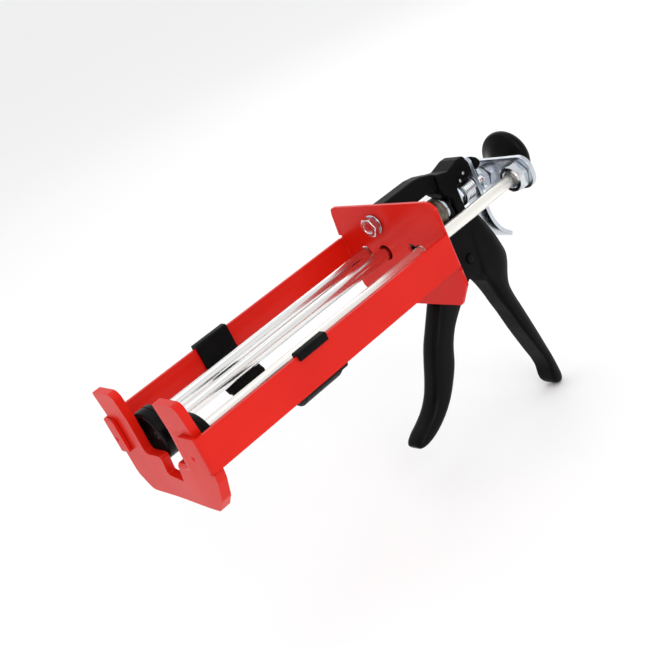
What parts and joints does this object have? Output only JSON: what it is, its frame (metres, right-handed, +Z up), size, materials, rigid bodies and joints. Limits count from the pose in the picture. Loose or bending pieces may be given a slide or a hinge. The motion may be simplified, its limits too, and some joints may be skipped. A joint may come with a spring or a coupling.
{
  "type": "caulking gun",
  "caption": "Manual dispensing gun for side-by-side cartridges: open carrier, linked plunger discs on rods, trigger, release lever and pull knob.",
  "frame": {"origin": "middle of the hand grip's rear surface, where the palm holds it", "axes": "+X along the barrel towards the nose, +Y to the gun's left, +Z up with the barrel level"},
  "size_m": [0.3303, 0.0998, 0.1922],
  "materials": {
    "red_coat": "gloss powder coat on folded sheet steel",
    "black_coat": "fine-textured black paint on cast alloy",
    "black_plastic": "moulded black plastic",
    "gloss_black": "glossy black plastic",
    "steel_rod": "bright drawn steel",
    "zinc": "bright zinc plate",
    "spring_steel": "bright spring wire",
    "brown_steel": "dark oiled steel, olive brown"
  },
  "bodies": {
    "gun_body": {"carrier_frame": "red_coat", "nose_plate": "red_coat", "clip_right": "black_plastic", "clip_left": "black_plastic", "body_casting": "black_coat", "carrier_bolt": "zinc", "carrier_bolt_washer": "zinc", "trigger_pin": "black_coat", "dowel_upper": "zinc", "dowel_lower": "zinc", "gland_nut": "zinc", "lock_spring_washer": "zinc", "lock_spring": "spring_steel", "drive_spring": "spring_steel"},
    "trigger": {"trigger": "black_coat"},
    "drive": {"drive_sleeve": "brown_steel", "thrust_washer": "zinc"},
    "release": {"release_lever": "zinc"},
    "plunger": {"drive_rod": "steel_rod", "push_rod_right": "steel_rod", "push_rod_left": "steel_rod", "plunger_disc_right": "black_plastic", "plunger_disc_left": "black_plastic", "disc_screw_right": "black_coat", "disc_screw_drive": "black_coat", "disc_screw_left": "black_coat", "yoke_plate": "zinc", "yoke_nut_drive": "zinc", "yoke_nut_right": "zinc", "yoke_nut_left": "zinc", "knob_washer": "zinc", "pull_knob": "gloss_black"}
  },
  "joints": [
    {"name": "trigger_hinge", "type": "hinge", "parent": "gun_body", "child": "trigger", "pos_m": [0.035, 0, 0.068], "axis": [0, 1, 0], "range_deg": [0, 26], "stiffness_Nm_per_rad": 0.6, "springref_deg": -20.05},
    {"name": "drive_slide", "type": "slide", "parent": "gun_body", "child": "drive", "axis": [1, 0, 0], "range_m": [0, 0.0172], "deforming": ["drive_spring"]},
    {"name": "release_hinge", "type": "hinge", "parent": "gun_body", "child": "release", "pos_m": [0.0013, 0, 0.121], "axis": [0, -1, 0], "range_deg": [0, 3.5], "stiffness_Nm_per_rad": 0.5, "springref_deg": -5.73, "deforming": ["lock_spring"]},
    {"name": "plunger_slide", "type": "slide", "parent": "gun_body", "child": "plunger", "axis": [1, 0, 0], "range_m": [-0.17, 0]}
  ],
  "couplings": [
    {"joint": "drive_slide", "follows": "trigger_hinge", "m_per_rad": 0.0372}
  ]
}
